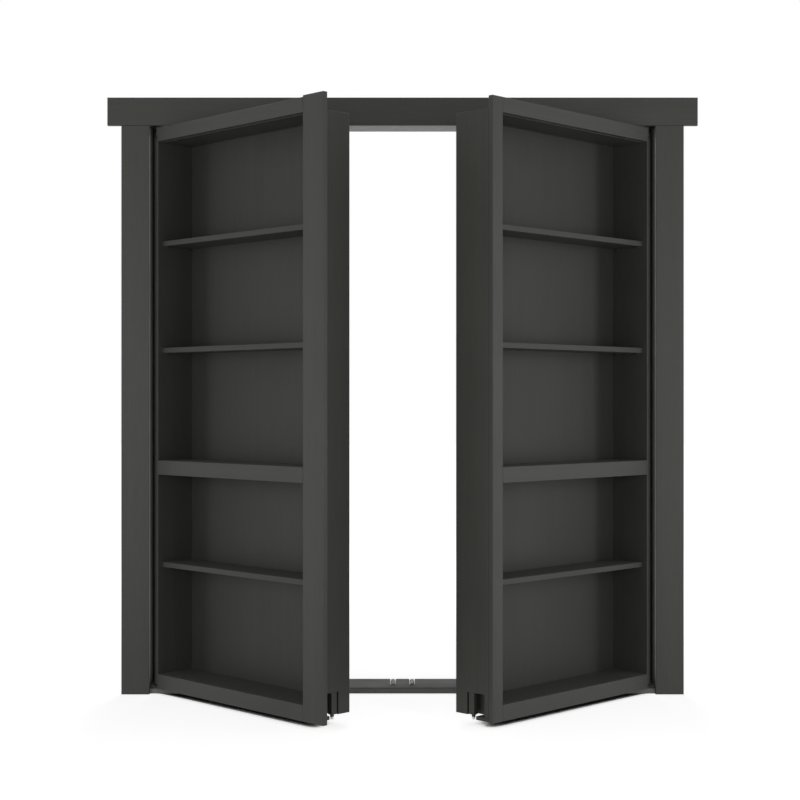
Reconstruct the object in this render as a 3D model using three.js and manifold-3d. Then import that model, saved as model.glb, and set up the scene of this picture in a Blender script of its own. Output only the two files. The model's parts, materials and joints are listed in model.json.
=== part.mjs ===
// Hidden door bookcase: a pair of bookcases that swing on corner pivots inside a cased doorway.
// Millimetres. X runs to the right, Y away from the viewer into the wall, Z up from the floor.
// The origin is the centre of the threshold's underside. Both leaves stand open by restAngle.

import * as THREE from 'three';
import { mergeVertices } from 'three/addons/utils/BufferGeometryUtils.js';
import Module from 'manifold-3d';

const wasm = await Module();
wasm.setup();

// Doorway and casings
const clearWidth = 1790;
const casingWidth = 99;
const casingThick = 19;
const casingHeight = 2010.5;
const headerHeight = 99;
const headerHorn = 49.5;
const casingEase = 2;

// Jambs, threshold, head plate and stops behind the casings
const jambThick = 19;
const jambDepth = 178;
const jambReveal = 10;
const thresholdHeight = 20.5;
const thresholdNose = 5;
const headRise = 12.5;
const plateGauge = 3;
const plateLip = 20;
const stopWidth = 40;
const stopGap = 3;

// Leaves: each is a bookcase box behind a face frame
const restAngle = THREE.MathUtils.degToRad(45.5);
const hingeGap = 19.5;
const boxGap = 51;
const meetingGap = 3;
const leafDepth = 158;
const faceThick = 19;
const stileWidth = 48;
const topRailHeight = 49;
const midRailHeight = 51.3;
const midRailTop = 828.3;
const bottomRailTop = 74;
const headGap = 3.5;
const railDrop = 5;
const leafClearance = 1;
const boardEase = 1.5;
const plyEase = 0.3;
const metalEase = 0.6;

// Box boards
const sideThick = 19;
const sideSetback = 3;
const shelfThick = 18.5;
const topThick = 12;
const backThick = 6;
const housingDepth = 6;
const rabbetWidth = 9;
const boxTopDrop = 39;
const boxRise = 14.5;
const toeDepth = 52;
const toeHeight = 12.5;

// Shelves on pegs
const lowShelfTop = 468;
const highShelfTop = 1225.5;
const topShelfTop = 1602.5;
const shelfSetback = 2;
const shelfPlay = 1;
const pegRadius = 3;
const pegReach = 9;
const pegInset = 24;

// Pivots at the hinge corner
const pivotPin = 5;
const pinChamfer = 1.25;
const pivotPlay = 0.06;
const armHalfWidth = 8;
const armThick = 6;
const armDrop = 42;
const flangeThick = 4;
const flangeDepth = 90;
const bracketWeb = 8;
const bracketGusset = 18;
const thrustRadius = 7.5;
const socketThick = 8;
const socketLength = 58;
const socketMargin = 0.6;

// Finger pocket and latch at the free bottom corner
const pocketFront = 36;
const pocketWidth = 73;
const pocketHeight = 72;
const pocketDepth = 35;
const linerThick = 6;
const latchInset = 8.5;
const latchBehind = 89;
const latchRadius = 5;
const latchPlay = 0.3;
const latchTip = 1.5;
const latchTravel = 10;
const collarRadius = 6.6;
const collarHeight = 4;
const latchStem = 3;
const springWire = 0.5;
const springTurns = 9;
const latchBlockFront = 80;
const latchBlockWidth = 22;
const latchBlockInset = 17.5;
const latchBlockFoot = 38;
const latchSole = 20;
const latchCeiling = 4;
const springSeat = 0.4;
const bushHeight = 7;
const bushWall = 1.1;
const keeperWidth = 20;
const keeperDepth = 30;
const keeperHeight = 16.1;
const keeperLead = 14;
const keeperPlay = 0.35;

// Fits shared by every piece
const seam = 0.3;
const overrun = 5;
const roundSides = 24;
const pinSides = 48;
const wireSides = 6;
const turnSteps = 8;

// Places that follow from the sizes above
const halfClear = clearWidth / 2;
const jambFace = halfClear + jambReveal;
const frameFront = casingThick + seam;
const frameBack = casingThick + jambDepth;
const headFace = casingHeight + headRise;
const headJambUnder = headFace + plateLip + seam;
const headJambTop = headJambUnder + jambThick;
const stopFront = leafDepth + stopGap;
const leafEdge = halfClear - hingeGap;
const boxWidth = leafEdge - boxGap / 2;
const meetingLip = boxGap - meetingGap;
const pivotInset = faceThick / 2;
const pivotX = leafEdge - pivotInset;
const leafBottom = thresholdHeight + leafClearance;
const activeTop = casingHeight - headGap;
const railTop = activeTop - railDrop;
const boxTop = railTop - boxTopDrop;
const boxBottom = leafBottom + boxRise;
const innerSide = boxWidth - sideThick;
const backFront = leafDepth - backThick;
const pocketTop = boxBottom + pocketHeight;
const pocketBack = pocketFront + pocketWidth;
const latchU = boxWidth - latchInset;
const pinBottom = thresholdHeight + leafClearance + seam;
const armTop = headFace - armDrop;

// Materials
const paint = (name, color, roughness, metalness = 0) =>
  new THREE.MeshStandardMaterial({ name, color, roughness, metalness });
const casingPaint = paint('casing_paint', 0x444442, 0.55);
const leafPaint = paint('leaf_paint', 0x4c4c49, 0.55);
const boxPaint = paint('box_paint', 0x3c3c3a, 0.6);
const sillPaint = paint('sill_paint', 0x4b4b48, 0.5);
const zinc = paint('zinc_steel', 0x9a9c9c, 0.45, 0.8);
const steel = paint('bright_steel', 0xd8d8d6, 0.3, 0.9);
const blackSteel = paint('black_steel', 0x1c1c1b, 0.5, 0.6);

// Solids: geometry in, boolean, geometry out
function toSolid(geometry) {
  const bare = geometry.clone();
  bare.deleteAttribute('normal');
  bare.deleteAttribute('uv');
  const merged = mergeVertices(bare);
  const vertProperties = new Float32Array(merged.attributes.position.array);
  const triVerts = new Uint32Array(merged.index.array);
  return new wasm.Manifold(new wasm.Mesh({ numProp: 3, vertProperties, triVerts }));
}

function fromSolid(solid) {
  const { vertProperties, triVerts } = solid.getMesh();
  const geometry = new THREE.BufferGeometry();
  geometry.setAttribute('position', new THREE.BufferAttribute(vertProperties, 3));
  geometry.setIndex(new THREE.BufferAttribute(triVerts, 1));
  const faceted = geometry.toNonIndexed();
  faceted.computeVertexNormals();
  return faceted;
}

function carve(body, cutters, joined = []) {
  let solid = toSolid(body);
  for (const cutter of cutters) solid = solid.subtract(toSolid(cutter));
  for (const extra of joined) solid = solid.add(toSolid(extra));
  return fromSolid(solid);
}

// Axis frames for extrusions: the outline's two axes, then the way it is drawn out
const X = new THREE.Vector3(1, 0, 0);
const Y = new THREE.Vector3(0, 1, 0);
const Z = new THREE.Vector3(0, 0, 1);
const drawnAlong = {
  x: new THREE.Matrix4().makeBasis(Y, Z, X),
  y: new THREE.Matrix4().makeBasis(X, Z, Y.clone().negate()),
  z: new THREE.Matrix4(),
};
const outlineAxes = { x: ['y', 'z'], y: ['x', 'z'], z: ['x', 'y'] };

function rectangle(width, height) {
  const shape = new THREE.Shape();
  shape.moveTo(0, 0);
  shape.lineTo(width, 0);
  shape.lineTo(width, height);
  shape.lineTo(0, height);
  shape.closePath();
  return shape;
}

// A planed board between two corners. Its broad faces lie across the flat axis and their arrises are eased.
function board(low, high, flat, ease = boardEase) {
  const size = high.clone().sub(low);
  const [across, along] = outlineAxes[flat];
  const geometry = new THREE.ExtrudeGeometry(rectangle(size[across], size[along]), {
    depth: size[flat] - 2 * ease,
    steps: 1,
    bevelEnabled: ease > 0,
    bevelThickness: ease,
    bevelSize: ease,
    bevelOffset: -ease,
    bevelSegments: 2,
  });
  geometry.applyMatrix4(drawnAlong[flat]);
  geometry.computeBoundingBox();
  geometry.translate(...low.clone().sub(geometry.boundingBox.min));
  return geometry;
}

// A sharp block between two corners, used as a cutter
function block(low, high) {
  const size = high.clone().sub(low);
  const geometry = new THREE.BoxGeometry(size.x, size.y, size.z);
  geometry.translate(...low.clone().add(high).divideScalar(2));
  return geometry;
}

function corner(x, y, z) {
  return new THREE.Vector3(x, y, z);
}

// An outline drawn out by a depth, with no bevel, placed by its lowest corner along the drawn axis
function drawn(shape, depth, flat, start) {
  const curveSegments = roundSides / 2;
  const geometry = new THREE.ExtrudeGeometry(shape, { depth, steps: 1, bevelEnabled: false, curveSegments });
  geometry.applyMatrix4(drawnAlong[flat]);
  geometry.computeBoundingBox();
  const shift = start - geometry.boundingBox.min[flat];
  geometry.translate(flat === 'x' ? shift : 0, flat === 'y' ? shift : 0, flat === 'z' ? shift : 0);
  return geometry;
}

// A turned piece on a vertical axis. Its profile is a list of pairs, each a radius and a height.
function turned(profile, x, y, sides = pinSides) {
  const points = profile.map(([radius, height]) => new THREE.Vector2(radius, height));
  const geometry = new THREE.LatheGeometry(points, sides);
  geometry.rotateX(Math.PI / 2);
  geometry.translate(x, y, 0);
  return geometry;
}

// A compression spring on the vertical axis: round wire wound round a cylinder from its foot to its top
function spring(radius, foot, top) {
  class Helix extends THREE.Curve {
    getPoint(share, target = new THREE.Vector3()) {
      const angle = 2 * Math.PI * springTurns * share;
      const rise = top - foot - 2 * springWire;
      return target.set(radius * Math.cos(angle), radius * Math.sin(angle), foot + springWire + rise * share);
    }
  }
  const section = new THREE.Shape();
  section.absarc(0, 0, springWire, 0, 2 * Math.PI, false);
  return new THREE.ExtrudeGeometry(section, {
    extrudePath: new Helix(),
    steps: springTurns * turnSteps,
    curveSegments: wireSides / 2,
    bevelEnabled: false,
  });
}

function node(parent, name, geometry, material) {
  const mesh = new THREE.Mesh(geometry, material);
  mesh.name = name;
  parent.add(mesh);
}

// The cased frame, drawn with its front at Y zero
function casings(parent) {
  const outer = halfClear + casingWidth;
  for (const [side, hand] of [['left', -1], ['right', 1]]) {
    const [from, to] = hand < 0 ? [-outer, -halfClear] : [halfClear, outer];
    const upright = board(corner(from, 0, 0), corner(to, casingThick, casingHeight), 'y', casingEase);
    node(parent, `${side}_casing`, upright, casingPaint);
  }
  const reach = outer + headerHorn;
  const foot = casingHeight + seam;
  const headerTop = foot + headerHeight;
  const header = board(corner(-reach, 0, foot), corner(reach, casingThick, headerTop), 'y', casingEase);
  node(parent, 'header_casing', header, casingPaint);
}

function jambs(parent) {
  for (const [side, hand] of [['left', -1], ['right', 1]]) {
    const outer = jambFace + jambThick;
    const [from, to] = hand < 0 ? [-outer, -jambFace] : [jambFace, outer];
    const upright = board(corner(from, frameFront, 0), corner(to, frameBack, headJambTop), 'x');
    node(parent, `${side}_jamb`, upright, casingPaint);
    const edge = jambFace - seam;
    const [near, far] = hand < 0 ? [-edge, stopWidth - edge] : [edge - stopWidth, edge];
    const foot = thresholdHeight + seam;
    const stop = board(corner(near, stopFront, foot), corner(far, frameBack, headFace - seam), 'y');
    node(parent, `${side}_stop`, stop, casingPaint);
  }
  const reach = jambFace - seam;
  const head = board(corner(-reach, frameFront, headJambUnder), corner(reach, frameBack, headJambTop), 'z');
  node(parent, 'head_jamb', head, casingPaint);
}

// The threshold's front arris is a long bevel that a foot or a wheel rides over
function threshold(parent) {
  const shape = new THREE.Shape();
  shape.moveTo(frameFront, 0);
  shape.lineTo(frameBack, 0);
  shape.lineTo(frameBack, thresholdHeight - boardEase);
  shape.lineTo(frameBack - boardEase, thresholdHeight);
  shape.lineTo(frameFront + thresholdNose, thresholdHeight);
  shape.lineTo(frameFront, thresholdHeight - thresholdNose);
  shape.closePath();
  const reach = jambFace - seam;
  node(parent, 'threshold', drawn(shape, 2 * reach, 'x', -reach), sillPaint);
}

// A folded channel closes the head, its web facing down and its two lips up
function headPlate(parent) {
  const foot = headFace;
  const shape = new THREE.Shape();
  shape.moveTo(frameFront, foot);
  shape.lineTo(frameBack, foot);
  shape.lineTo(frameBack, foot + plateLip);
  shape.lineTo(frameBack - plateGauge, foot + plateLip);
  shape.lineTo(frameBack - plateGauge, foot + plateGauge);
  shape.lineTo(frameFront + plateGauge, foot + plateGauge);
  shape.lineTo(frameFront + plateGauge, foot + plateLip);
  shape.lineTo(frameFront, foot + plateLip);
  shape.closePath();
  const reach = jambFace - seam;
  node(parent, 'head_plate', drawn(shape, 2 * reach, 'x', -reach), zinc);
}

// A keeper on the threshold for each latch pin: a block with a round-ended slot open to the room
function keepers(parent) {
  const slot = latchRadius + latchPlay + bushWall + keeperPlay;
  for (const [side, hand] of [['left', -1], ['right', 1]]) {
    const centre = hand * (leafEdge - latchU);
    const front = latchBehind - keeperLead;
    const shape = new THREE.Shape();
    shape.moveTo(-keeperWidth / 2, front);
    shape.lineTo(-slot, front);
    shape.lineTo(-slot, latchBehind);
    shape.absarc(0, latchBehind, slot, Math.PI, 0, true);
    shape.lineTo(slot, front);
    shape.lineTo(keeperWidth / 2, front);
    shape.lineTo(keeperWidth / 2, front + keeperDepth);
    shape.lineTo(-keeperWidth / 2, front + keeperDepth);
    shape.closePath();
    const keeper = drawn(shape, keeperHeight, 'z', thresholdHeight + seam);
    keeper.translate(centre, 0, 0);
    node(parent, `${side}_keeper`, keeper, zinc);
  }
}

// Outline seen from above of a pivot arm: a strip with a round nose at the pivot that widens into its plate
function armOutline(hand, plateEdge, plateFront, plateBack) {
  const shape = new THREE.Shape();
  const x = (outboard) => hand * (pivotX + outboard);
  const inner = -armHalfWidth;
  shape.moveTo(x(inner), plateBack);
  shape.lineTo(x(inner), pivotInset);
  const [noseFrom, noseTo] = hand < 0 ? [0, Math.PI] : [Math.PI, 0];
  shape.absarc(hand * pivotX, pivotInset, armHalfWidth, noseFrom, noseTo, hand < 0);
  shape.lineTo(x(armHalfWidth), plateFront);
  shape.lineTo(hand * plateEdge, plateFront);
  shape.lineTo(hand * plateEdge, plateBack);
  shape.closePath();
  return shape;
}

function bottomPivot(parent, side, hand) {
  const plateFoot = thresholdHeight + seam;
  const plateTop = plateFoot + armThick;
  const plateBack = frameFront + flangeDepth;
  const plateEdge = jambFace - seam;
  const outline = armOutline(hand, plateEdge, frameFront + thresholdNose, plateBack);
  const plate = drawn(outline, armThick, 'z', plateFoot);
  const shoulder = boxBottom - seam - socketThick - seam;
  const tip = boxBottom - seam;
  const profile = [
    [0, plateTop - armThick / 2],
    [thrustRadius, plateTop - armThick / 2],
    [thrustRadius, shoulder],
    [pivotPin, shoulder],
    [pivotPin, tip - pinChamfer],
    [pivotPin - pinChamfer, tip],
    [0, tip],
  ];
  const pin = turned(profile, hand * pivotX, pivotInset);
  node(parent, `${side}_bottom_pivot`, carve(plate, [], [pin]), blackSteel);
}

// The top pivot is a stepped bracket: a flange under the head plate, a gusseted drop and an arm with the pin
function topPivot(parent, side, hand) {
  const flangeTop = headFace - seam;
  const flangeFoot = flangeTop - flangeThick;
  const armFoot = armTop - armThick;
  const webFront = frameFront + bracketWeb;
  const webBack = webFront + bracketWeb;
  const flangeBack = frameFront + flangeDepth;
  const shape = new THREE.Shape();
  shape.moveTo(pivotInset, armFoot);
  shape.lineTo(webBack, armFoot);
  shape.lineTo(webBack, flangeFoot - bracketGusset);
  shape.quadraticCurveTo(webBack, flangeFoot, webBack + bracketGusset, flangeFoot);
  shape.lineTo(flangeBack, flangeFoot);
  shape.lineTo(flangeBack, flangeTop);
  shape.lineTo(webFront, flangeTop);
  shape.lineTo(webFront, armTop);
  shape.lineTo(pivotInset, armTop);
  shape.closePath();
  const inner = hand * (pivotX - armHalfWidth);
  const outer = hand * (pivotX + armHalfWidth);
  const bracket = drawn(shape, 2 * armHalfWidth, 'x', Math.min(inner, outer));
  const edge = hand * (jambFace - seam);
  const flange = block(
    corner(Math.min(inner, edge), webFront, flangeFoot),
    corner(Math.max(inner, edge), flangeBack, flangeTop),
  );
  const noseProfile = [
    [0, armFoot],
    [armHalfWidth, armFoot],
    [armHalfWidth, armTop],
    [0, armTop],
  ];
  const nose = turned(noseProfile, hand * pivotX, pivotInset);
  const tip = boxTop + seam;
  const profile = [
    [0, tip],
    [pivotPin - pinChamfer, tip],
    [pivotPin, tip + pinChamfer],
    [pivotPin, armTop - armThick / 2],
    [0, armTop - armThick / 2],
  ];
  const pin = turned(profile, hand * pivotX, pivotInset);
  node(parent, `${side}_top_pivot`, carve(bracket, [], [flange, nose, pin]), blackSteel);
}

// One leaf. u runs from the hinge edge across the leaf, v back from its face, both worked from the pivot.
function leaf(side, hand) {
  const group = new THREE.Group();
  group.position.set(hand * pivotX, pivotInset, 0);
  group.rotation.z = hand * restAngle;
  const acrossTo = (u) => -hand * (u - pivotInset);
  const behind = (v) => v - pivotInset;
  const add = (name, geometry, material) => node(group, `${side}_${name}`, geometry, material);
  const span = (u, v, z) => [
    corner(Math.min(acrossTo(u[0]), acrossTo(u[1])), behind(v[0]), z[0]),
    corner(Math.max(acrossTo(u[0]), acrossTo(u[1])), behind(v[1]), z[1]),
  ];
  const plank = (u, v, z, flat, ease) => board(...span(u, v, z), flat, ease);
  const cutter = (u, v, z) => block(...span(u, v, z));

  // Face frame: rails butt the hinge side's inner face and the stile
  const active = side === 'left';
  const stileEdge = active ? boxWidth + meetingLip : boxWidth;
  const stileTop = active ? activeTop : railTop;
  const stileStart = boxWidth - stileWidth;
  const railU = [sideThick + seam, stileStart - seam];
  const face = [0, faceThick];
  add('meeting_stile', plank([stileStart, stileEdge], face, [leafBottom, stileTop], 'y'), leafPaint);
  add('top_rail', plank(railU, face, [railTop - topRailHeight, railTop], 'y'), leafPaint);
  add('mid_rail', plank(railU, face, [midRailTop - midRailHeight, midRailTop], 'y'), leafPaint);
  add('bottom_rail', plank(railU, face, [leafBottom, bottomRailTop], 'y'), leafPaint);

  // Heights of the fixed boards, shared by their housings in the sides
  const fixedTop = midRailTop - seam;
  const fixedLevels = [
    [boxTop - topThick, boxTop + overrun],
    [fixedTop - shelfThick, fixedTop],
    [bottomRailTop - shelfThick, bottomRailTop],
  ];
  const looseTops = { low: lowShelfTop, high: highShelfTop, top: topShelfTop };
  const pegLevels = Object.values(looseTops).map((top) => top - shelfThick - seam - pegRadius);
  const boardFront = faceThick + seam;
  const boardBack = backFront - seam;

  // A side with its housings, its rabbet for the back and the pegs that carry the loose shelves
  function boxSide(u, inside, front, extraCuts) {
    const into = inside === u[1] ? -1 : 1;
    const bite = (depth) => [inside + into * depth, inside - into * overrun].sort((a, b) => a - b);
    const housings = fixedLevels.map(([foot, top]) =>
      cutter(bite(housingDepth), [faceThick, leafDepth + overrun], [foot - seam, top + seam]));
    const rabbet = cutter(bite(rabbetWidth), [boardBack, leafDepth + overrun], [0, boxTop + overrun]);
    const pegs = pegLevels.flatMap((z) => [boardFront + pegInset, boardBack - pegInset].map((v) => {
      const peg = new THREE.CylinderGeometry(pegRadius, pegRadius, pegReach + pegRadius, roundSides / 2);
      peg.rotateZ(Math.PI / 2);
      peg.translate(acrossTo(inside - into * (pegReach - pegRadius) / 2), behind(v), z);
      return peg;
    }));
    const sheet = plank(u, [front, leafDepth], [boxBottom, boxTop], 'x');
    return carve(sheet, [...housings, rabbet, ...extraCuts], pegs);
  }
  const notch = cutter([innerSide - overrun, boxWidth + overrun], [pocketFront, pocketBack], [0, pocketTop]);
  add('hinge_side', boxSide([0, sideThick], sideThick, sideSetback, []), boxPaint);
  add('free_side', boxSide([innerSide, boxWidth], innerSide, boardFront, [notch]), boxPaint);

  // Fixed boards sit in the housings; the bottom is notched round the pocket's liner
  const housedU = [sideThick - housingDepth + seam, innerSide + housingDepth - seam];
  const boardV = [boardFront, boardBack];
  const linerU = [boxWidth - pocketDepth - linerThick, innerSide - seam];
  const linerV = [pocketFront - linerThick, pocketBack + linerThick];
  const linerNotch = cutter(
    [linerU[0] - seam, boxWidth],
    [linerV[0] - seam, linerV[1] + seam],
    [0, pocketTop],
  );
  add('top_panel', plank(housedU, boardV, [boxTop - topThick, boxTop], 'z'), boxPaint);
  add('fixed_shelf', plank(housedU, boardV, [fixedTop - shelfThick, fixedTop], 'z'), boxPaint);
  const bottom = plank(housedU, boardV, [bottomRailTop - shelfThick, bottomRailTop], 'z');
  add('bottom_panel', carve(bottom, [linerNotch]), boxPaint);
  const backU = [sideThick - rabbetWidth + seam, innerSide + rabbetWidth - seam];
  add('back_panel', plank(backU, [backFront, leafDepth], [boxBottom, boxTop], 'y', plyEase), boxPaint);

  // Loose shelves rest on the pegs
  const looseU = [sideThick + shelfPlay, innerSide - shelfPlay];
  const looseV = [boardFront + shelfSetback, boardBack - shelfPlay];
  for (const [name, top] of Object.entries(looseTops)) {
    add(`${name}_shelf`, plank(looseU, looseV, [top - shelfThick, top], 'z'), boxPaint);
  }

  // The toe board closes the underside behind the bottom rail
  const toeU = [sideThick + shelfPlay, boxWidth];
  const toeV = [boardFront, boardFront + toeDepth];
  const toeTop = boxBottom - seam;
  add('toe_board', plank(toeU, toeV, [toeTop - toeHeight, toeTop], 'z'), boxPaint);

  // Finger pocket: a liner open to the side and below
  const liner = block(...span(linerU, linerV, [boxBottom, pocketTop + linerThick]));
  const hollow = cutter([boxWidth - pocketDepth, boxWidth], [pocketFront, pocketBack], [0, pocketTop]);
  add('pocket_liner', carve(liner, [hollow]), boxPaint);

  // Latch: a sprung pin with a collar, held in a block under the pocket's roof and guided by a bush below it.
  // The collar stands on the block's sole and has the travel above it that lets the pin ride up.
  const blockTop = pocketTop - seam;
  const bore = latchRadius + latchPlay;
  const chamberFoot = latchBlockFoot + latchSole;
  const chamberTop = blockTop - latchCeiling;
  const collarFoot = chamberFoot + latchPlay;
  const collarTop = collarFoot + collarHeight;
  const stemTop = chamberTop - latchTravel - latchPlay;
  const chamber = turned([
    [0, latchBlockFoot - overrun],
    [bore, latchBlockFoot - overrun],
    [bore, chamberFoot],
    [collarRadius + latchPlay, chamberFoot],
    [collarRadius + latchPlay, chamberTop],
    [0, chamberTop],
  ], acrossTo(latchU), behind(latchBehind), roundSides);
  const blockU = [boxWidth - latchBlockInset, boxWidth];
  const blockV = [latchBlockFront, latchBlockFront + latchBlockWidth];
  const latchBlock = plank(blockU, blockV, [latchBlockFoot, blockTop], 'x', metalEase);
  add('latch_housing', carve(latchBlock, [chamber]), boxPaint);
  const pin = [
    [0, pinBottom],
    [latchRadius - latchTip, pinBottom],
    [latchRadius, pinBottom + latchTip],
    [latchRadius, collarFoot],
    [collarRadius, collarFoot],
    [collarRadius, collarTop],
    [latchStem, collarTop],
    [latchStem, stemTop],
    [0, stemTop],
  ];
  add('latch_pin', turned(pin, acrossTo(latchU), behind(latchBehind), roundSides), steel);
  const coil = spring((latchStem + collarRadius) / 2, collarTop + springSeat, chamberTop - springSeat);
  coil.translate(acrossTo(latchU), behind(latchBehind), 0);
  add('latch_spring', coil, steel);
  const bushTop = latchBlockFoot - seam;
  const bush = [
    [bore, bushTop - bushHeight],
    [bore + bushWall, bushTop - bushHeight],
    [bore + bushWall, bushTop],
    [bore, bushTop],
    [bore, bushTop - bushHeight],
  ];
  add('latch_bush', turned(bush, acrossTo(latchU), behind(latchBehind), roundSides), blackSteel);

  // Socket plates on the ends of the hinge side carry the leaf on its pivots
  const socketU = [socketMargin, sideThick - socketMargin];
  const socketV = [socketMargin, socketMargin + socketLength];
  const socketBore = pivotPin + pivotPlay;
  for (const [name, foot] of [['top', boxTop + seam], ['bottom', boxBottom - seam - socketThick]]) {
    const plate = plank(socketU, socketV, [foot, foot + socketThick], 'z', metalEase);
    const hole = turned([
      [0, foot - overrun],
      [socketBore, foot - overrun],
      [socketBore, foot + socketThick + overrun],
      [0, foot + socketThick + overrun],
    ], 0, 0);
    add(`${name}_socket`, carve(plate, [hole]), blackSteel);
  }
  return group;
}

const frame = new THREE.Group();
casings(frame);
jambs(frame);
threshold(frame);
headPlate(frame);
keepers(frame);
for (const [side, hand] of [['left', -1], ['right', 1]]) {
  topPivot(frame, side, hand);
  bottomPivot(frame, side, hand);
}

const bookcase = new THREE.Group();
bookcase.add(frame, leaf('left', -1), leaf('right', 1));
bookcase.position.y = -(frameFront + frameBack) / 2;

export default bookcase;
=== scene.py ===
# %% [markdown]
# # Hidden door bookcase
# Two open-front bookcases hang on corner pivots inside a cased doorway, and stand ajar. The joinery, the
# pivots and the latches are already true solids in the frame, so this script gives them their finish, adds
# the small fasteners that hold them, and sets the room: a white floor, soft light and a level camera.

# %% Load the frame
import json
import math

import bmesh
import bpy
from mathutils import Matrix, Vector


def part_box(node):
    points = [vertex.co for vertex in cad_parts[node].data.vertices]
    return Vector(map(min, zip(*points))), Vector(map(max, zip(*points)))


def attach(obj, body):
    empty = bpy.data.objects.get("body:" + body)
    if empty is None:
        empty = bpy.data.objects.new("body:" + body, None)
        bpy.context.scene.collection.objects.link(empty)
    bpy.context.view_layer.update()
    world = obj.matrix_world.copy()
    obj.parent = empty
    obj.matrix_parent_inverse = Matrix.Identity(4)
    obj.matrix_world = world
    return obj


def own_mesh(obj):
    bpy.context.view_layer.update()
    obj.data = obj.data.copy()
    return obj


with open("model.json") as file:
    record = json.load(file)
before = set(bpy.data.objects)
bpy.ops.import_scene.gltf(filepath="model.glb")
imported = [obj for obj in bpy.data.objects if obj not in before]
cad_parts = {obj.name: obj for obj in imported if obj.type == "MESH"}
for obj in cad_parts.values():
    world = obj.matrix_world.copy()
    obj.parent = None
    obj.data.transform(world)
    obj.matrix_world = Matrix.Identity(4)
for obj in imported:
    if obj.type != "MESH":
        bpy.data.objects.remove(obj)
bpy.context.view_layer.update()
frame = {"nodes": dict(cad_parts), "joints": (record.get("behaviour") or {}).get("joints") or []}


def joint_named(name):
    return next(joint for joint in frame["joints"] if joint["name"] == name)


# %% [markdown]
# ## Camera
# The picture is a level view: uprights stay parallel, so the camera neither tilts nor shifts. Its distance
# and height come from how fast the shelves run together towards the horizon line. A short lens from nearby
# could frame the same width, but its shelves would slant too much. A long lens from five and a half metres
# gives the slow convergence.

# %% Camera
SENSOR = 36.0
LENS = 69.52
EYE_HEIGHT = 1.0407
EYE_DISTANCE = 5.4585
EYE_SIDE = -0.009

casing_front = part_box("left_casing")[0].y
camera = bpy.data.objects.new("camera", bpy.data.cameras.new("camera"))
camera.data.sensor_width = SENSOR
camera.data.lens = LENS
camera.location = (EYE_SIDE, casing_front - EYE_DISTANCE, EYE_HEIGHT)
camera.rotation_euler = (math.pi / 2, 0, 0)
bpy.context.scene.collection.objects.link(camera)
bpy.context.scene.camera = camera
print("camera:", [round(v, 3) for v in camera.location])

# %% [markdown]
# ## Arrises that catch the light
# The boards' edges are eased in the solids. Imported facets are shaded flat, which would show each facet of
# an edge or a turned pin. A bevel modifier would change the true solids, and smoothing everything would
# round the broad faces. A small geometry-node modifier welds the facets and marks only true corners sharp.
# Weighted normals then keep the faces flat and let the narrow eased strip carry the turn of light.

# %% Smooth shading modifier
WELD_DISTANCE = 0.00002
CORNER_ANGLE = math.radians(50)


def smoothing_group():
    group = bpy.data.node_groups.new("Soft arris", "GeometryNodeTree")
    group.interface.new_socket("Geometry", in_out="INPUT", socket_type="NodeSocketGeometry")
    group.interface.new_socket("Geometry", in_out="OUTPUT", socket_type="NodeSocketGeometry")
    nodes, links = group.nodes, group.links
    source = nodes.new("NodeGroupInput")
    weld = nodes.new("GeometryNodeMergeByDistance")
    weld.inputs["Distance"].default_value = WELD_DISTANCE
    angle = nodes.new("GeometryNodeInputMeshEdgeAngle")
    corner = nodes.new("FunctionNodeCompare")
    corner.operation = "GREATER_THAN"
    corner.inputs[1].default_value = CORNER_ANGLE
    normals = nodes.new("GeometryNodeSetMeshNormal")
    normals.mode = "SHARPNESS"
    sink = nodes.new("NodeGroupOutput")
    links.new(source.outputs[0], weld.inputs["Geometry"])
    links.new(weld.outputs[0], normals.inputs["Mesh"])
    links.new(angle.outputs["Unsigned Angle"], corner.inputs[0])
    links.new(corner.outputs[0], normals.inputs["Edge Sharpness"])
    links.new(normals.outputs[0], sink.inputs[0])
    return group


SOFT_ARRIS = smoothing_group()


def soften(obj):
    obj.modifiers.new("soft_arris", "NODES").node_group = SOFT_ARRIS
    weighted = obj.modifiers.new("weighted_normals", "WEIGHTED_NORMAL")
    weighted.keep_sharp = True


for solid in frame["nodes"].values():
    soften(solid)
print("softened:", len(frame["nodes"]))

# %% [markdown]
# ## Helpers for node trees
# Shader trees are easier to read when one line makes one step. These helpers add a node, set its plain
# numbers and link its sockets, and hand back the socket that the next step needs. A remap takes the low and
# the high end of what comes in, and then the low and the high end of what goes out.

# %% Node helpers
MIX_FIRST = 6
MIX_SECOND = 7
MIX_RESULT = 2


def feed(tree, socket, value):
    if isinstance(value, bpy.types.NodeSocket):
        tree.links.new(value, socket)
    else:
        socket.default_value = value


def math_node(tree, operation, first, second, clamp=False):
    node = tree.nodes.new("ShaderNodeMath")
    node.operation = operation
    node.use_clamp = clamp
    feed(tree, node.inputs[0], first)
    feed(tree, node.inputs[1], second)
    return node.outputs[0]


def remap(tree, value, low, high, to_low=0.0, to_high=1.0):
    node = tree.nodes.new("ShaderNodeMapRange")
    for label, number in zip(("From Min", "From Max", "To Min", "To Max"), (low, high, to_low, to_high)):
        node.inputs[label].default_value = number
    tree.links.new(value, node.inputs["Value"])
    return node.outputs["Result"]


def noise(tree, vector, scale, detail=3.0, roughness=0.5):
    node = tree.nodes.new("ShaderNodeTexNoise")
    feed(tree, node.inputs["Vector"], vector)
    feed(tree, node.inputs["Scale"], scale)
    node.inputs["Detail"].default_value = detail
    node.inputs["Roughness"].default_value = roughness
    return node.outputs["Fac"]


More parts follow.
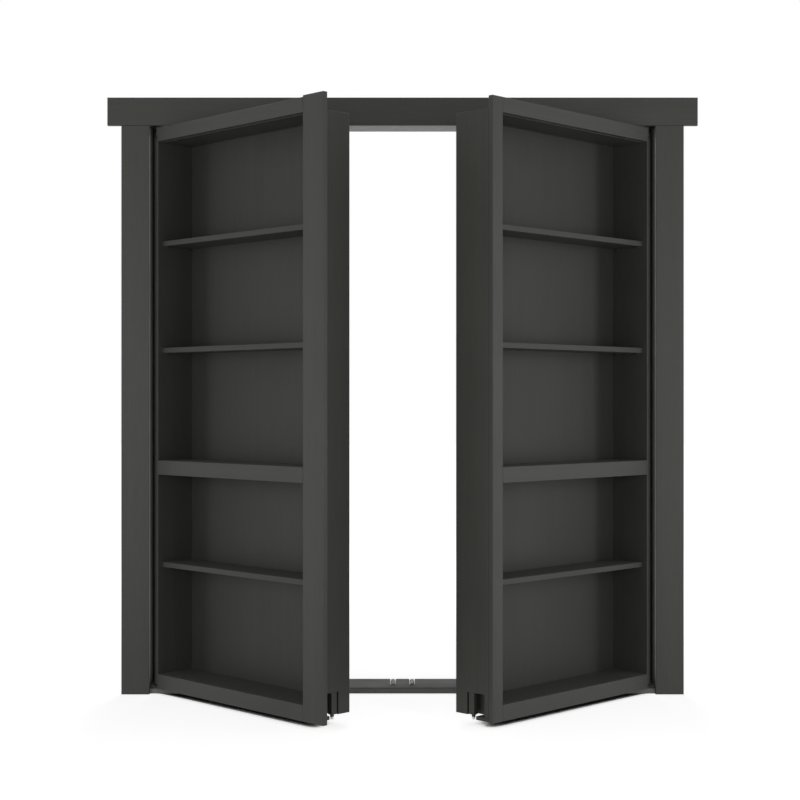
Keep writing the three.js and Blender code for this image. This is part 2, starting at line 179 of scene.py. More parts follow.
def mix_colour(tree, factor, first, second):
    node = tree.nodes.new("ShaderNodeMix")
    node.data_type = "RGBA"
    feed(tree, node.inputs[0], factor)
    for index, value in ((MIX_FIRST, first), (MIX_SECOND, second)):
        feed(tree, node.inputs[index], value if isinstance(value, bpy.types.NodeSocket) else (*value, 1))
    return node.outputs[MIX_RESULT]


# %% [markdown]
# ## Helpers for node groups
# A group is a small tree with named sockets. One helper makes a group and its sockets. The other places it
# in a material, on the coordinates that it is given, and sets its values by name.

# %% Group helpers
def new_group(name, inputs, outputs):
    group = bpy.data.node_groups.new(name, "ShaderNodeTree")
    group.interface.new_socket("Vector", in_out="INPUT", socket_type="NodeSocketVector")
    for label, value in inputs.items():
        socket = group.interface.new_socket(label, in_out="INPUT", socket_type="NodeSocketFloat")
        socket.default_value = value
    for label in outputs:
        group.interface.new_socket(label, in_out="OUTPUT", socket_type="NodeSocketFloat")
    print("effect group:", name, "puts out", outputs)
    return group, group.nodes.new("NodeGroupInput").outputs, group.nodes.new("NodeGroupOutput").inputs


def place(tree, group, vector, **values):
    node = tree.nodes.new("ShaderNodeGroup")
    node.node_tree = group
    tree.links.new(vector, node.inputs["Vector"])
    for label, value in values.items():
        node.inputs[label.replace("_", " ").title()].default_value = value
    return node.outputs


# %% [markdown]
# ## Helpers for materials
# Every material starts alike: its tree, the sockets of its Principled shader, and the piece's own
# coordinates, which carry the marks along when a leaf swings. Fine relief is a bump. Real displacement would
# need a far denser mesh for marks that are at most a tenth of a millimetre deep.

# %% Material helpers
def new_material(name):
    material = bpy.data.materials.new(name)
    material.use_nodes = True
    tree = material.node_tree
    spot = tree.nodes.new("ShaderNodeTexCoord").outputs["Object"]
    return material, tree, tree.nodes["Principled BSDF"].inputs, spot


def bump_normal(tree, height, strength, depth):
    bump = tree.nodes.new("ShaderNodeBump")
    bump.inputs["Strength"].default_value = strength
    bump.inputs["Distance"].default_value = depth
    tree.links.new(height, bump.inputs["Height"])
    return bump.outputs["Normal"]


# %% [markdown]
# ## Effects shared by the finishes
# Each effect is a shader node group: the fine stipple that a sprayed film leaves, grain that shows through
# the paint, wear along the arrises, dust on what faces up, painted light on the sill's nose, and crystals or
# turning marks on metal. Painted images could carry such marks too, but they would need unwrapped boards and
# blur up close.
# The groups put out masks and heights only, and each material decides what to do with them. The film comes
# first: stipple is what the gun leaves, and the slow cloud is how evenly the painter moved it.

# %% Sprayed film: stipple and slow variation
def sprayed_film_group():
    scales = {"Stipple Scale": 420.0, "Cloud Scale": 3.2}
    group, source, sink = new_group("Sprayed film", scales, ["Height", "Cloud"])
    stipple = noise(group, source["Vector"], source["Stipple Scale"], detail=2.0)
    cloud = noise(group, source["Vector"], source["Cloud Scale"], detail=4.0, roughness=0.55)
    group.links.new(stipple, sink["Height"])
    group.links.new(cloud, sink["Cloud"])
    return group


SPRAYED_FILM = sprayed_film_group()


# %% [markdown]
# ### Grain under the paint
# A thin film sinks into the wood's pores and lets its broad bands show faintly. A wave texture would draw
# rings too regular to pass for wood under paint, so both are noise, one fine and one coarse. The material
# stretches the coordinates along the board before they come in here.

# %% Grain under the paint: fine pores and broad bands along the board
def board_grain_group():
    scales = {"Pore Scale": 260.0, "Band Scale": 22.0}
    group, source, sink = new_group("Board grain", scales, ["Pores", "Bands"])
    pores = noise(group, source["Vector"], source["Pore Scale"], detail=4.0, roughness=0.6)
    bands = noise(group, source["Vector"], source["Band Scale"])
    group.links.new(pores, sink["Pores"])
    group.links.new(bands, sink["Bands"])
    return group


BOARD_GRAIN = board_grain_group()


# %% [markdown]
# ### Arris wear
# Paint rubs through first along an arris. Real wear follows the edge but never all of it. A bevel node gives
# the normal that a rounded edge would have, and the angle between it and the face's own normal finds the
# edge. Noise then breaks that line into patches. A pointiness mask would need a much finer mesh.

# %% Arris wear: where a rounded normal leaves the face, broken into patches
BEVEL_SAMPLES = 6
WEAR_TURN = (0.995, 0.86)
WEAR_PATCHES = (0.42, 0.66)


def arris_wear_group():
    group, source, sink = new_group("Arris wear", {"Reach": 0.0022, "Patch Scale": 38.0}, ["Mask"])
    bevel = group.nodes.new("ShaderNodeBevel")
    bevel.samples = BEVEL_SAMPLES
    group.links.new(source["Reach"], bevel.inputs["Radius"])
    face = group.nodes.new("ShaderNodeNewGeometry")
    turn = group.nodes.new("ShaderNodeVectorMath")
    turn.operation = "DOT_PRODUCT"
    group.links.new(bevel.outputs["Normal"], turn.inputs[0])
    group.links.new(face.outputs["Normal"], turn.inputs[1])
    edge = remap(group, turn.outputs["Value"], *WEAR_TURN)
    blotches = noise(group, source["Vector"], source["Patch Scale"], detail=5.0, roughness=0.65)
    patches = remap(group, blotches, *WEAR_PATCHES)
    group.links.new(math_node(group, "MULTIPLY", edge, patches, clamp=True), sink["Mask"])
    return group


ARRIS_WEAR = arris_wear_group()


# %% [markdown]
# ### Dust
# Shelves and the sill hold a little dust, uprights none. The normal's height tells the two apart, so no
# piece has to be masked by hand, and noise keeps the dust from being even.

# %% Dust on what faces up
DUST_FACING = (0.6, 0.98)
DUST_PATCHES = (0.3, 0.75, 0.35, 1.0)


def settled_dust_group():
    group, source, sink = new_group("Settled dust", {"Patch Scale": 14.0}, ["Mask"])
    split = group.nodes.new("ShaderNodeSeparateXYZ")
    group.links.new(group.nodes.new("ShaderNodeNewGeometry").outputs["Normal"], split.inputs[0])
    facing = remap(group, split.outputs["Z"], *DUST_FACING)
    blotches = noise(group, source["Vector"], source["Patch Scale"], detail=5.0, roughness=0.6)
    patches = remap(group, blotches, *DUST_PATCHES)
    group.links.new(math_node(group, "MULTIPLY", facing, patches, clamp=True), sink["Mask"])
    return group


SETTLED_DUST = settled_dust_group()


# %% [markdown]
# ### Painted light on the nose
# The sill's low face towards the room, its nose, stands in the shade of the two leaves, and its paint is
# made
# lighter there: this is painted light. A mask painted by hand could mark it, but the face's normal, which
# points to the room along minus Y, finds it without one. A gentle noise keeps the mark uneven.

# %% Painted light on the nose: the face towards the room
NOSE_FACING = (0.5, 0.95)
NOSE_PATCHES = (0.25, 0.6, 0.7, 1.0)


def nose_painted_light_group():
    group, source, sink = new_group("Nose painted light", {"Patch Scale": 9.0}, ["Mask"])
    split = group.nodes.new("ShaderNodeSeparateXYZ")
    group.links.new(group.nodes.new("ShaderNodeNewGeometry").outputs["Normal"], split.inputs[0])
    towards_room = math_node(group, "MULTIPLY", split.outputs["Y"], -1.0)
    facing = remap(group, towards_room, *NOSE_FACING)
    blotches = noise(group, source["Vector"], source["Patch Scale"], detail=4.0, roughness=0.6)
    patches = remap(group, blotches, *NOSE_PATCHES)
    group.links.new(math_node(group, "MULTIPLY", facing, patches, clamp=True), sink["Mask"])
    return group


NOSE_PAINTED_LIGHT = nose_painted_light_group()


# %% [markdown]
# ### Metal marks
# A zinc coat freezes in flat crystals, each a little lighter or darker than its neighbour, which is just
# what the cells of a Voronoi texture are. A lathe leaves fine rings around its work, and a wave texture in
# bands up the pin's axis draws them.

# %% Metal: crystals of a zinc coat, and the fine rings that turning leaves
CRYSTAL_SHARE = 0.6
RING_DISTORTION = 1.5


def crystals_group():
    scales = {"Crystal Scale": 60.0, "Fine Scale": 360.0}
    group, source, sink = new_group("Zinc crystals", scales, ["Patch", "Fine"])
    cells = group.nodes.new("ShaderNodeTexVoronoi")
    group.links.new(source["Vector"], cells.inputs["Vector"])
    group.links.new(source["Crystal Scale"], cells.inputs["Scale"])
    split = group.nodes.new("ShaderNodeSeparateColor")
    group.links.new(cells.outputs["Color"], split.inputs[0])
    fine = noise(group, source["Vector"], source["Fine Scale"], detail=4.0)
    flat = math_node(group, "MULTIPLY", split.outputs[0], CRYSTAL_SHARE)
    speckle = math_node(group, "MULTIPLY", fine, 1 - CRYSTAL_SHARE)
    group.links.new(math_node(group, "ADD", flat, speckle), sink["Patch"])
    group.links.new(fine, sink["Fine"])
    return group


def turning_marks_group():
    group, source, sink = new_group("Turning marks", {"Ring Scale": 900.0}, ["Height"])
    rings = group.nodes.new("ShaderNodeTexWave")
    rings.bands_direction = "Z"
    rings.inputs["Distortion"].default_value = RING_DISTORTION
    group.links.new(source["Vector"], rings.inputs["Vector"])
    group.links.new(source["Ring Scale"], rings.inputs["Scale"])
    group.links.new(rings.outputs["Fac"], sink["Height"])
    return group


ZINC_CRYSTALS = crystals_group()
TURNING_MARKS = turning_marks_group()

# %% [markdown]
# ## Charcoal paint
# All the joinery is sprayed the same warm charcoal in a satin film. A painter would call it one colour, but
# casings, face frames and boxes age and catch light a little differently, so each has its own values. The
# walked-on sill's value is about twice the casing's: painted light, which stands in for the light that the
# sill misses between the two leaves. The thin backs are a shade darker than the boards around them: painted
# shade, which stands in for the shade deep in the boxes. The grain runs along each board: up the uprights,
# across the rails and shelves, and for the turned leaves at their angle.

# %% Coordinates along the board
LEAF_TURN = abs(math.radians(joint_named("left_leaf_swing")["range_deg"][0]))
GRAIN_STRETCH = 28.0
TURNS = {"across": 0.0, "left": -LEAF_TURN, "right": LEAF_TURN, "up": 0.0}
print("leaves stand at", round(math.degrees(LEAF_TURN), 1), "degrees")


def along_the_board(tree, vector, run):
    mapping = tree.nodes.new("ShaderNodeMapping")
    mapping.vector_type = "TEXTURE"
    mapping.inputs["Rotation"].default_value = (0, 0, TURNS[run])
    mapping.inputs["Scale"].default_value = (1, 1, GRAIN_STRETCH) if run == "up" else (GRAIN_STRETCH, 1, 1)
    tree.links.new(vector, mapping.inputs["Vector"])
    return mapping.outputs[0]


# %% [markdown]
# ### Coat after coat
# The colour is built up in the order in which it came to the real board. First come the film's own colour
# and the bands and pores that show through it.

# %% Colour as it was sprayed
SOFT_RANGE = (0.3, 0.7)
CLOUD_DARK = 0.91
CLOUD_LIGHT = 1.09
BAND_MIX = 0.6
BAND_SHADE = 0.82
PORE_RANGE = (0.5, 0.72)
PORE_MIX = 0.5
PORE_SHADE = 0.6


def sprayed_colour(tree, film, grain, base):
    cloud = remap(tree, film["Cloud"], *SOFT_RANGE)
    bands = remap(tree, grain["Bands"], *SOFT_RANGE, 0.0, BAND_MIX)
    pores = remap(tree, grain["Pores"], *PORE_RANGE, 0.0, PORE_MIX)
    shade = mix_colour(tree, cloud, base * CLOUD_DARK, base * CLOUD_LIGHT)
    shade = mix_colour(tree, bands, shade, base * BAND_SHADE)
    return mix_colour(tree, pores, shade, base * PORE_SHADE)


# %% [markdown]
# ### What use adds, and painted light
# Rubbed paint is lighter than fresh paint, and so is dust. Each mark lies over the one before it: first the
# painted light on the nose, then the worn arrises, then the dust. Only the sill has a nose.

# %% Colour after use, and painted light on the nose
WORN_SHADE = 2.4
DUST_COLOUR = (0.20, 0.193, 0.18)
DUST_AMOUNT = 0.12


def used_and_painted_light_colour(tree, spot, settled, shade, base, wear, nose):
    # Painted light: the face towards the room is made lighter because it stands in shade
    if nose > 1.0:
        shade = mix_colour(tree, place(tree, NOSE_PAINTED_LIGHT, spot)["Mask"], shade, base * nose)
    worn = math_node(tree, "MULTIPLY", place(tree, ARRIS_WEAR, spot)["Mask"], wear)
    shade = mix_colour(tree, worn, shade, base * WORN_SHADE)
    dusty = math_node(tree, "MULTIPLY", settled, DUST_AMOUNT)
    return mix_colour(tree, dusty, shade, DUST_COLOUR)


# %% [markdown]
# ### Satin
# Satin paint scatters the light a little more where the film is thin or dusty. So the film's cloud moves the
# roughness, dust adds to it, and stipple and pores together make the relief.

# %% Paint material
SATIN = 0.3
GLOSS_SPREAD = 0.045
DUST_DULLING = 0.12
STIPPLE_RELIEF = 0.6
PORE_RELIEF = 0.5
FILM_RELIEF = 0.8
FILM_DEPTH = 0.0001


def charcoal(name, colour, run, roughness=0.46, wear=0.3, nose=1.0):
    material, tree, shader, spot = new_material(name)
    film = place(tree, SPRAYED_FILM, spot)
    grain = place(tree, BOARD_GRAIN, along_the_board(tree, spot, run))
    settled = place(tree, SETTLED_DUST, spot)["Mask"]
    base = Vector(colour)
    fresh = sprayed_colour(tree, film, grain, base)
    tree.links.new(used_and_painted_light_colour(tree, spot, settled, fresh, base, wear, nose), shader["Base Color"])

    gloss = remap(tree, film["Cloud"], *SOFT_RANGE, roughness - GLOSS_SPREAD, roughness + GLOSS_SPREAD)
    dulling = math_node(tree, "MULTIPLY", settled, DUST_DULLING)
    tree.links.new(math_node(tree, "ADD", gloss, dulling), shader["Roughness"])
    shader["Specular IOR Level"].default_value = SATIN

    stipple = math_node(tree, "MULTIPLY", film["Height"], STIPPLE_RELIEF)
    furrows = math_node(tree, "MULTIPLY", grain["Pores"], PORE_RELIEF)
    height = math_node(tree, "ADD", stipple, furrows)
    tree.links.new(bump_normal(tree, height, FILM_RELIEF, FILM_DEPTH), shader["Normal"])
    return material


# %% Paints
CASING = (0.0590, 0.0592, 0.0525)
FACE = (0.0590, 0.0590, 0.0530)
BOX = (0.0530, 0.0530, 0.0465)
# Painted shade: the backs are set darker than the box paint around them
BACK_PAINTED_SHADE = (0.0435, 0.0435, 0.0380)
# Painted light: the sill is set about twice as light as the casing
SILL_PAINTED_LIGHT = (0.1200, 0.1200, 0.1130)

finishes = {
    "casing_up": charcoal("casing_paint_up", CASING, "up"),
    "casing_across": charcoal("casing_paint_across", CASING, "across"),
    # The sill's colour and its nose value are both painted light
    "sill": charcoal("sill_paint", SILL_PAINTED_LIGHT, "across", roughness=0.68, wear=0.5, nose=2.4),
}
for hand in ("left", "right"):
    finishes[hand + "_face_up"] = charcoal(hand + "_face_paint_up", FACE, "up")
    finishes[hand + "_face_across"] = charcoal(hand + "_face_paint_across", FACE, hand)
    finishes[hand + "_box_up"] = charcoal(hand + "_box_paint_up", BOX, "up", roughness=0.52)
    finishes[hand + "_box_across"] = charcoal(hand + "_box_paint_across", BOX, hand, roughness=0.52)
    # The backs take the darker value, which is painted shade
    finishes[hand + "_back_up"] = charcoal(hand + "_back_paint_up", BACK_PAINTED_SHADE, "up", roughness=0.52)
print("paints:", len(finishes))

# %% [markdown]
# ## Metals
# The folded head plate and the keepers are zinc-coated, and the coat's crystals show as a soft patchwork.
# The keepers' zinc is set lighter than bare zinc: painted light that lifts the shaded inside of each slot.
# The pivots, sockets and latch bushes are blackened. The latch pins are bright steel with the fine rings of
# the lathe, and the springs inside the housings share it. Four functions could make four metals, but one
# makes them all, and each call's numbers tell them apart.

# %% Metal material
FINE_PER_CRYSTAL = 6
METAL_SPREAD = 0.08
METAL_RELIEF = 0.2


def metal(name, colour, roughness, contrast, weight, crystals, depth=0.0001, rings=0.0):
    material, tree, shader, spot = new_material(name)
    coat = place(tree, ZINC_CRYSTALS, spot, crystal_scale=crystals, fine_scale=crystals * FINE_PER_CRYSTAL)
    base = Vector(colour)
    shade = mix_colour(tree, coat["Patch"], base * (1 - contrast), base * (1 + contrast))
    tree.links.new(shade, shader["Base Color"])
    gloss = remap(tree, coat["Patch"], 0, 1, roughness - METAL_SPREAD, roughness + METAL_SPREAD)
    tree.links.new(gloss, shader["Roughness"])
    shader["Metallic"].default_value = weight
    height = coat["Fine"]
    if rings:
        marks = place(tree, TURNING_MARKS, spot)["Height"]
        height = math_node(tree, "ADD", height, math_node(tree, "MULTIPLY", marks, rings))
    tree.links.new(bump_normal(tree, height, METAL_RELIEF, depth), shader["Normal"])
    return material


# %% Metals
DULL_ZINC = (0.13, 0.13, 0.128)
ZINC_WITH_PAINTED_LIGHT = (0.80, 0.80, 0.79)
TURNED_STEEL = (0.50, 0.50, 0.49)
BLACK_OXIDE = (0.028, 0.028, 0.027)

finishes["dull_zinc"] = metal(
    "dull_zinc", DULL_ZINC, roughness=0.50, contrast=0.14, weight=0.7, crystals=60.0)
# Painted light: the keepers' zinc is set lighter than bare zinc, so their shaded slots read light
finishes["zinc"] = metal(
    "zinc_steel", ZINC_WITH_PAINTED_LIGHT, roughness=0.38, contrast=0.08, weight=0.5, crystals=90.0)
finishes["steel"] = metal(
    "bright_steel", TURNED_STEEL, roughness=0.24, contrast=0.05, weight=1.0, crystals=300.0,
    depth=0.00003, rings=0.8)
finishes["black"] = metal(
    "black_steel", BLACK_OXIDE, roughness=0.42, contrast=0.2, weight=0.5, crystals=500.0, depth=0.00005)
print("finishes:", len(finishes))

# %% [markdown]
# ## Dress the boards
# A board's finish follows from its place: uprights take the grain that runs up, the rest take the grain
# across. Names of nodes start with their side, so one small table serves both leaves.

# %% Assign finishes
FRAME_FINISH = {
    "header_casing": "casing_across", "head_jamb": "casing_across",
    "threshold": "sill", "head_plate": "dull_zinc",
}
SIDE_FINISH = {
    "casing": "casing_up", "jamb": "casing_up", "stop": "casing_up", "keeper": "zinc",
    "top_pivot": "black", "bottom_pivot": "black", "top_socket": "black", "bottom_socket": "black",
    "latch_bush": "black", "latch_pin": "steel", "latch_spring": "steel",
}
LEAF_FINISH = {
    "meeting_stile": "face_up", "top_rail": "face_across", "mid_rail": "face_across",
    "bottom_rail": "face_across",
    "hinge_side": "box_up", "free_side": "box_up", "back_panel": "back_up",
    "pocket_liner": "box_up", "latch_housing": "box_up",
    "top_panel": "box_across", "bottom_panel": "box_across", "toe_board": "box_across",
    "fixed_shelf": "box_across", "low_shelf": "box_across", "high_shelf": "box_across",
    "top_shelf": "box_across",
}


def finish_of(name):
    if name in FRAME_FINISH:
        return FRAME_FINISH[name]
    hand, piece = name.split("_", 1)
    if piece in SIDE_FINISH:
        return SIDE_FINISH[piece]
    return hand + "_" + LEAF_FINISH[piece]


for name, solid in frame["nodes"].items():
    solid.material_slots[0].link = "DATA"
    solid.data.materials[0] = finishes[finish_of(name)]
print("dressed:", len(frame["nodes"]))

# %% [markdown]
# ## Latch springs
# A latch spring stands between the pin's collar and the ceiling of its housing. When the pin rises, the real
# coil shortens from below and its top stays put. This script looks up each spring's lift joint and gives the
# coil its own copy of its mesh, so that it stays the frame's own piece; nothing here squashes the coil.

# %% Each spring gets its own mesh
for side in ("left", "right"):
    lift = joint_named(f"{side}_latch_lift")
    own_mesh(frame["nodes"][f"{side}_latch_spring"])

# %% [markdown]
# ## Screws
# A wood screw's head is a low dome with a cross recess. A lathe alone can't make the cross, so the head is
# drawn flat as a circle with a cross-shaped hole, filled, and then its two outlines are pulled down: the
# circle outwards into the rim, the cross inwards into the recess. One mesh holds every screw of a body,
# because nobody takes them apart in a picture.

# %% Screw head
RIM_SIDES = 24
CROSS_SHARE = (0.62, 0.17)
DOME_SHARE = 0.82
RIM_HEIGHT = 0.45
RECESS_HEIGHT = 0.2
RECESS_TAPER = 0.55


def cross_outline(radius):
    far, near = radius * CROSS_SHARE[0], radius * CROSS_SHARE[1]
    arm = [(far, -near), (far, near), (near, near)]
    turns = [Matrix.Rotation(quarter * math.pi / 2, 2) for quarter in range(4)]
    return [turn @ Vector(point) for turn in turns for point in arm]


def add_screw(mesh, radius, proud, sink, matrix):
    circle = [
        Vector((math.cos(a), math.sin(a))) * radius * DOME_SHARE
        for a in (2 * math.pi * step / RIM_SIDES for step in range(RIM_SIDES))
    ]
    made = []
    loops = []
    for outline in (circle, cross_outline(radius)):
        verts = [mesh.verts.new((p.x, p.y, proud)) for p in outline]
        loops.append(verts)
        made += verts
    edges = [mesh.edges.new((loop[i - 1], loop[i])) for loop in loops for i in range(len(loop))]
    bmesh.ops.triangle_fill(mesh, use_beauty=True, edges=edges)
    rim_low = [mesh.verts.new((*(p / DOME_SHARE), proud * RIM_HEIGHT)) for p in circle]
    foot = [mesh.verts.new((*(p / DOME_SHARE), -sink)) for p in circle]
    cross = cross_outline(radius)
    floor_ring = [mesh.verts.new((*(p * RECESS_TAPER), proud * RECESS_HEIGHT)) for p in cross]
    for upper, lower in ((loops[0], rim_low), (rim_low, foot), (loops[1], floor_ring)):
        for i in range(len(upper)):
            j = (i + 1) % len(upper)
            mesh.faces.new((upper[i], upper[j], lower[j], lower[i]))
    mesh.faces.new(floor_ring)
    mesh.faces.new(foot)
    made += rim_low + foot + floor_ring
    bmesh.ops.transform(mesh, matrix=matrix, verts=made)


print("corners of the cross recess:", len(cross_outline(DOME_SHARE)))


# %% One mesh of fasteners on one body
def fastener_object(name, body, material, build):
    mesh = bmesh.new()
    build(mesh)
    bmesh.ops.recalc_face_normals(mesh, faces=mesh.faces)
    data = bpy.data.meshes.new(name)
    mesh.to_mesh(data)
    mesh.free()
    data.materials.append(material)
    obj = bpy.data.objects.new(name, data)
    bpy.context.scene.collection.objects.link(obj)
    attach(obj, body)
    print(name, "on", body, "with", len(data.polygons), "faces")


# %% [markdown]
# ## Where the frame's screws go
# Each piece gets its screws from its own box. The pivot plates have two in the strip beside the jamb that
# the leaf never sweeps. Each keeper has one behind its slot, the head plate hangs on four, and the jambs are
# screwed to the studs in four places. The heads that a leaf passes close to are the flattest.

# %% Frame screws
DOWN = Matrix.Rotation(math.pi, 4, "X")
UP = Matrix.Identity(4)
PLATE_SCREW = (0.0042, 0.0011, 0.0004)
KEEPER_SCREW = (0.0032, 0.0005, 0.0002)
JAMB_SCREW = (0.0045, 0.0006, 0.0004)
JAMB_HEIGHTS = (0.16, 0.66, 1.24, 1.82)
HEAD_PLACES = (-0.70, -0.30, 0.30, 0.70)
BESIDE_JAMB = 0.013
PLATE_SHARES = (0.35, 0.82)
PLATE_THICK = 0.006
FLANGE_THICK = 0.004
KEEPER_BACK = 0.0048


def plate_screws(mesh, hand, piece, height, turn):
    low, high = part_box(piece)
    beside = (low.x if hand < 0 else high.x) - hand * BESIDE_JAMB
    for share in PLATE_SHARES:
        spot = Vector((beside, low.y + (high.y - low.y) * share, height))
        add_screw(mesh, *PLATE_SCREW, Matrix.Translation(spot) @ turn)


def frame_screws(mesh):
    for side, hand in (("left", -1), ("right", 1)):
        top, bottom = side + "_top_pivot", side + "_bottom_pivot"
        plate_screws(mesh, hand, top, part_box(top)[1].z - FLANGE_THICK, DOWN)
        plate_screws(mesh, hand, bottom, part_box(bottom)[0].z + PLATE_THICK, UP)
        low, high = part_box(f"{side}_keeper")
        spot = Vector(((low.x + high.x) / 2, high.y - KEEPER_BACK, high.z))
        add_screw(mesh, *KEEPER_SCREW, Matrix.Translation(spot))
        low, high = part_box(f"{side}_jamb")
        inner = high.x if hand < 0 else low.x
        facing = Matrix.Rotation(-hand * math.pi / 2, 4, "Y")
        for height in JAMB_HEIGHTS:
            add_screw(mesh, *JAMB_SCREW, Matrix.Translation((inner, (low.y + high.y) / 2, height)) @ facing)
    low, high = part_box("head_plate")
    for place_x in HEAD_PLACES:
        add_screw(mesh, *PLATE_SCREW, Matrix.Translation((place_x, (low.y + high.y) / 2, low.z)) @ DOWN)


fastener_object("frame_screws", "frame", finishes["black"], frame_screws)

# %% [markdown]
# ## Leaf fasteners
# A leaf is drawn in its own directions: across from the hinge, back from the face, and up. Its frame is the
# pivot's axis turned by the angle it stands at. In that frame the top socket plate gets two screws, and the
# back panel a row of small brads along each edge, where it lies over the rabbet. A piece's true size shows
# only in that frame, because its box in the room is the box of a turned board.

# %% Leaf frames
def leaf_frame(side):
    hand = -1 if side == "left" else 1
    joint = joint_named(f"{side}_leaf_swing")
    pivot = Matrix.Translation((joint["pos_m"][0], joint["pos_m"][1], 0))
    return pivot @ Matrix.Rotation(hand * LEAF_TURN, 4, "Z")


def box_in(matrix, name):
    inverse = matrix.inverted()
    points = [inverse @ v.co for v in frame["nodes"][name].data.vertices]
    low = Vector([min(p[axis] for p in points) for axis in range(3)])
    high = Vector([max(p[axis] for p in points) for axis in range(3)])
    return low, high


# %% [markdown]
# ## Screws and brads on the leaves
# The socket plate's screws are the frame's screws again, a little smaller. A brad's head is a plain low disc
# under the paint, so a short cone with ten sides is enough. Brads stand at an even pitch of about 150 mm.

# %% Leaf screws and brads
SOCKET_SCREW = (0.0040, 0.0009, 0.0004)
SOCKET_SHARES = (0.5, 0.85)
BRAD_RADIUS = 0.0011
BRAD_PROUD = 0.00035
BRAD_CROWN = 0.8
BRAD_SIDES = 10
BRAD_EDGE = 0.0045
BRAD_PITCH = 0.15


def socket_screws(side):
    matrix = leaf_frame(side)
    low, high = box_in(matrix, f"{side}_top_socket")

    def build(mesh):
        for share in SOCKET_SHARES:
            spot = Vector(((low.x + high.x) / 2, low.y + (high.y - low.y) * share, high.z))
            add_screw(mesh, *SOCKET_SCREW, matrix @ Matrix.Translation(spot))
    return build


def edge_places(low, high):
    count = round((high - low - 2 * BRAD_EDGE) / BRAD_PITCH)
    step = (high - low - 2 * BRAD_EDGE) / count
    return [low + BRAD_EDGE + step * i for i in range(count + 1)]


def add_brad(mesh, matrix):
    rings = []
    for radius, height in ((BRAD_RADIUS, 0.0), (BRAD_RADIUS * BRAD_CROWN, BRAD_PROUD)):
        angles = [2 * math.pi * step / BRAD_SIDES for step in range(BRAD_SIDES)]
        points = [Vector((math.cos(a) * radius, math.sin(a) * radius, height)) for a in angles]
        rings.append([mesh.verts.new(matrix @ point) for point in points])
    foot, crown = rings
    for i in range(BRAD_SIDES):
        mesh.faces.new((foot[i - 1], foot[i], crown[i], crown[i - 1]))
    mesh.faces.new(crown)
    mesh.faces.new(foot[::-1])


def back_brads(side):
    matrix = leaf_frame(side)
    low, high = box_in(matrix, f"{side}_back_panel")
    facing_back = Matrix.Rotation(-math.pi / 2, 4, "X")

    def build(mesh):
        across = edge_places(low.x, high.x)
        rising = edge_places(low.z, high.z)
        sides = [(x, z) for x in (across[0], across[-1]) for z in rising]
        ends = [(x, z) for z in (rising[0], rising[-1]) for x in across[1:-1]]
        for x, z in sides + ends:
            add_brad(mesh, matrix @ Matrix.Translation((x, high.y, z)) @ facing_back)
    return build


for side in ("left", "right"):
    body = side + "_leaf"
    paint = finishes[side + "_back_up"]
    fastener_object(side + "_socket_screws", body, finishes["black"], socket_screws(side))
    fastener_object(side + "_back_brads", body, paint, back_brads(side))

# %% [markdown]
# ## White floor
# A white floor keeps the bookcase's shadow. Seen by the camera or in a reflection, the floor and the world
# are plain white, but they light the piece only gently. A studio sweep loses its shadow far from the object,
# so the floor's own glow rises with the distance. Under a rail that almost touches it, the floor gets dark
# in a tight band, and an ambient occlusion node finds that band.

# %% What sees plain white
def seen_directly(tree):
    path = tree.nodes.new("ShaderNodeLightPath")
    both = math_node(tree, "MAXIMUM", path.outputs["Is Camera Ray"], path.outputs["Is Glossy Ray"])
    return math_node(tree, "MAXIMUM", both, path.outputs["Is Transmission Ray"])


# %% Floor material
FLOOR_WHITE = (0.8, 0.8, 0.8)
FLOOR_SHADE = (0.06, 0.06, 0.06)
FLOOR_ROUGHNESS = 0.9
NEAR_LIFT = 0.78
FAR_LIFT = 1.0
SHADOW_REACH = (1.3, 3.2)
CONTACT_REACH = 0.45
CONTACT_RANGE = (0.108, 0.185)
CONTACT_SAMPLES = 32

paper, tree, shader, spot = new_material("white_floor")
shader["Roughness"].default_value = FLOOR_ROUGHNESS
shader["Specular IOR Level"].default_value = 0
shader["Emission Color"].default_value = (1, 1, 1, 1)
away = tree.nodes.new("ShaderNodeVectorMath")
away.operation = "LENGTH"
tree.links.new(spot, away.inputs[0])
contact = tree.nodes.new("ShaderNodeAmbientOcclusion")
contact.inputs["Distance"].default_value = CONTACT_REACH
contact.samples = CONTACT_SAMPLES
open_floor = remap(tree, contact.outputs["AO"], *CONTACT_RANGE)
tree.links.new(mix_colour(tree, open_floor, FLOOR_SHADE, FLOOR_WHITE), shader["Base Color"])
lift = remap(tree, away.outputs["Value"], *SHADOW_REACH, NEAR_LIFT, FAR_LIFT)
lift = math_node(tree, "MULTIPLY", lift, open_floor)
tree.links.new(math_node(tree, "MULTIPLY", seen_directly(tree), lift), shader["Emission Strength"])
print("floor material:", paper.name)

# %% Floor
FLOOR_SIZE = 60.0

bpy.ops.mesh.primitive_plane_add(size=FLOOR_SIZE, location=(0, 0, 0))
floor = bpy.context.object
floor.name = "floor"
floor.data.materials.append(paper)
print("white floor:", FLOOR_SIZE, "m across")

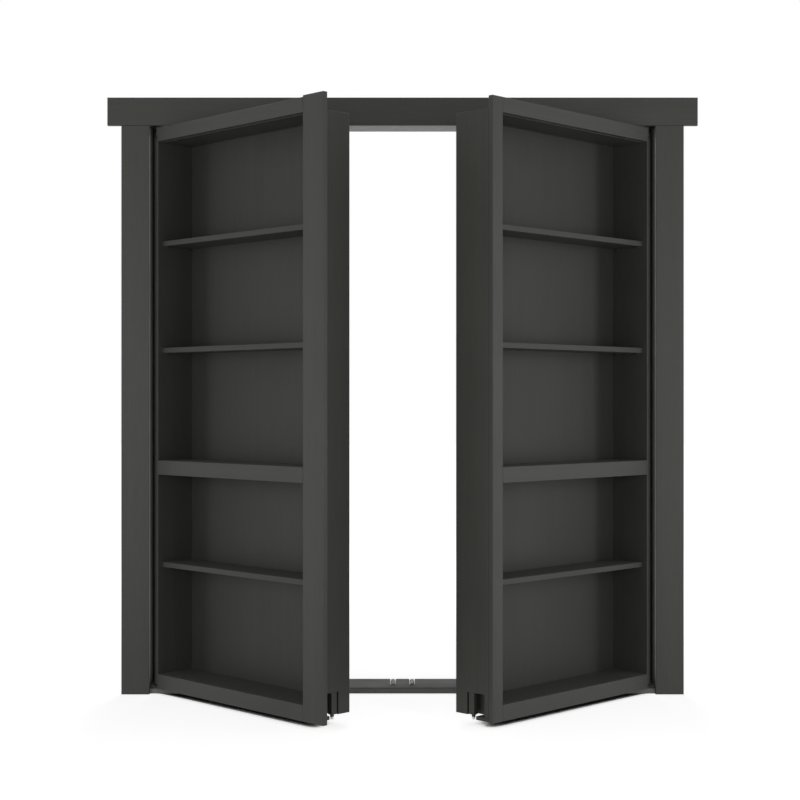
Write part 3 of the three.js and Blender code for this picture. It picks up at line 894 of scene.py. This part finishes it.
# %% [markdown]
# ## World
# The same trick makes the background white: rays from the camera, from mirrors or through glass see full
# white, and every other ray gets a faint, even light, which keeps the inside of the boxes from going black.

# %% World
WORLD_LIGHT = 0.08

world = bpy.data.worlds.new("studio")
bpy.context.scene.world = world
world.use_nodes = True
tree = world.node_tree
background = tree.nodes["Background"]
background.inputs["Color"].default_value = (1, 1, 1, 1)
tree.links.new(remap(tree, seen_directly(tree), 0, 1, WORLD_LIGHT, 1.0), background.inputs["Strength"])
print("world light:", WORLD_LIGHT)

# %% [markdown]
# ## Lamps
# Two broad lamps light the front from either side and one from behind the camera. Two narrow ones rake along
# the wall, so that the slanting face frames are lighter than the inner sides of the leaves, which stand in
# each other's way. One overhead lifts the shelves, and one high behind the wall edges the backs. All are
# area lamps, because a small lamp would draw hard shadows on the floor.

# %% Lamps
# Each lamp has its place, the point it is aimed at, its width and height, and its watts
LAMPS = {
    "left_front": ((-2.6, -3.4, 1.1), (-0.2, -0.2, 0.7), (1.6, 2.0), 29),
    "right_front": ((2.6, -3.4, 1.1), (0.2, -0.2, 0.7), (1.6, 2.0), 28),
    "behind_camera": ((0.0, -6.4, 1.3), (0.0, 0.0, 1.0), (2.0, 2.0), 38),
    "overhead": ((0.0, -0.6, 5.2), (0.0, -0.2, 0.0), (3.0, 3.0), 16),
    "back": ((0.0, 4.0, 3.7), (0.0, 0.0, 0.9), (2.4, 1.6), 55),
    "left_rake": ((-5.0, -0.95, 1.3), (-0.6, -0.4, 1.0), (0.8, 2.4), 10),
    "right_rake": ((5.0, -0.95, 1.3), (0.6, -0.4, 1.0), (0.8, 2.4), 24),
}

for name, (spot, aim, size, watts) in LAMPS.items():
    light = bpy.data.lights.new(name, "AREA")
    light.shape = "RECTANGLE"
    light.size, light.size_y = size
    light.energy = watts
    lamp = bpy.data.objects.new(name, light)
    lamp.location = spot
    lamp.rotation_euler = (Vector(aim) - Vector(spot)).to_track_quat("-Z", "Y").to_euler()
    bpy.context.scene.collection.objects.link(lamp)
bpy.context.scene.view_settings.view_transform = "Standard"
print("lamps:", list(LAMPS))
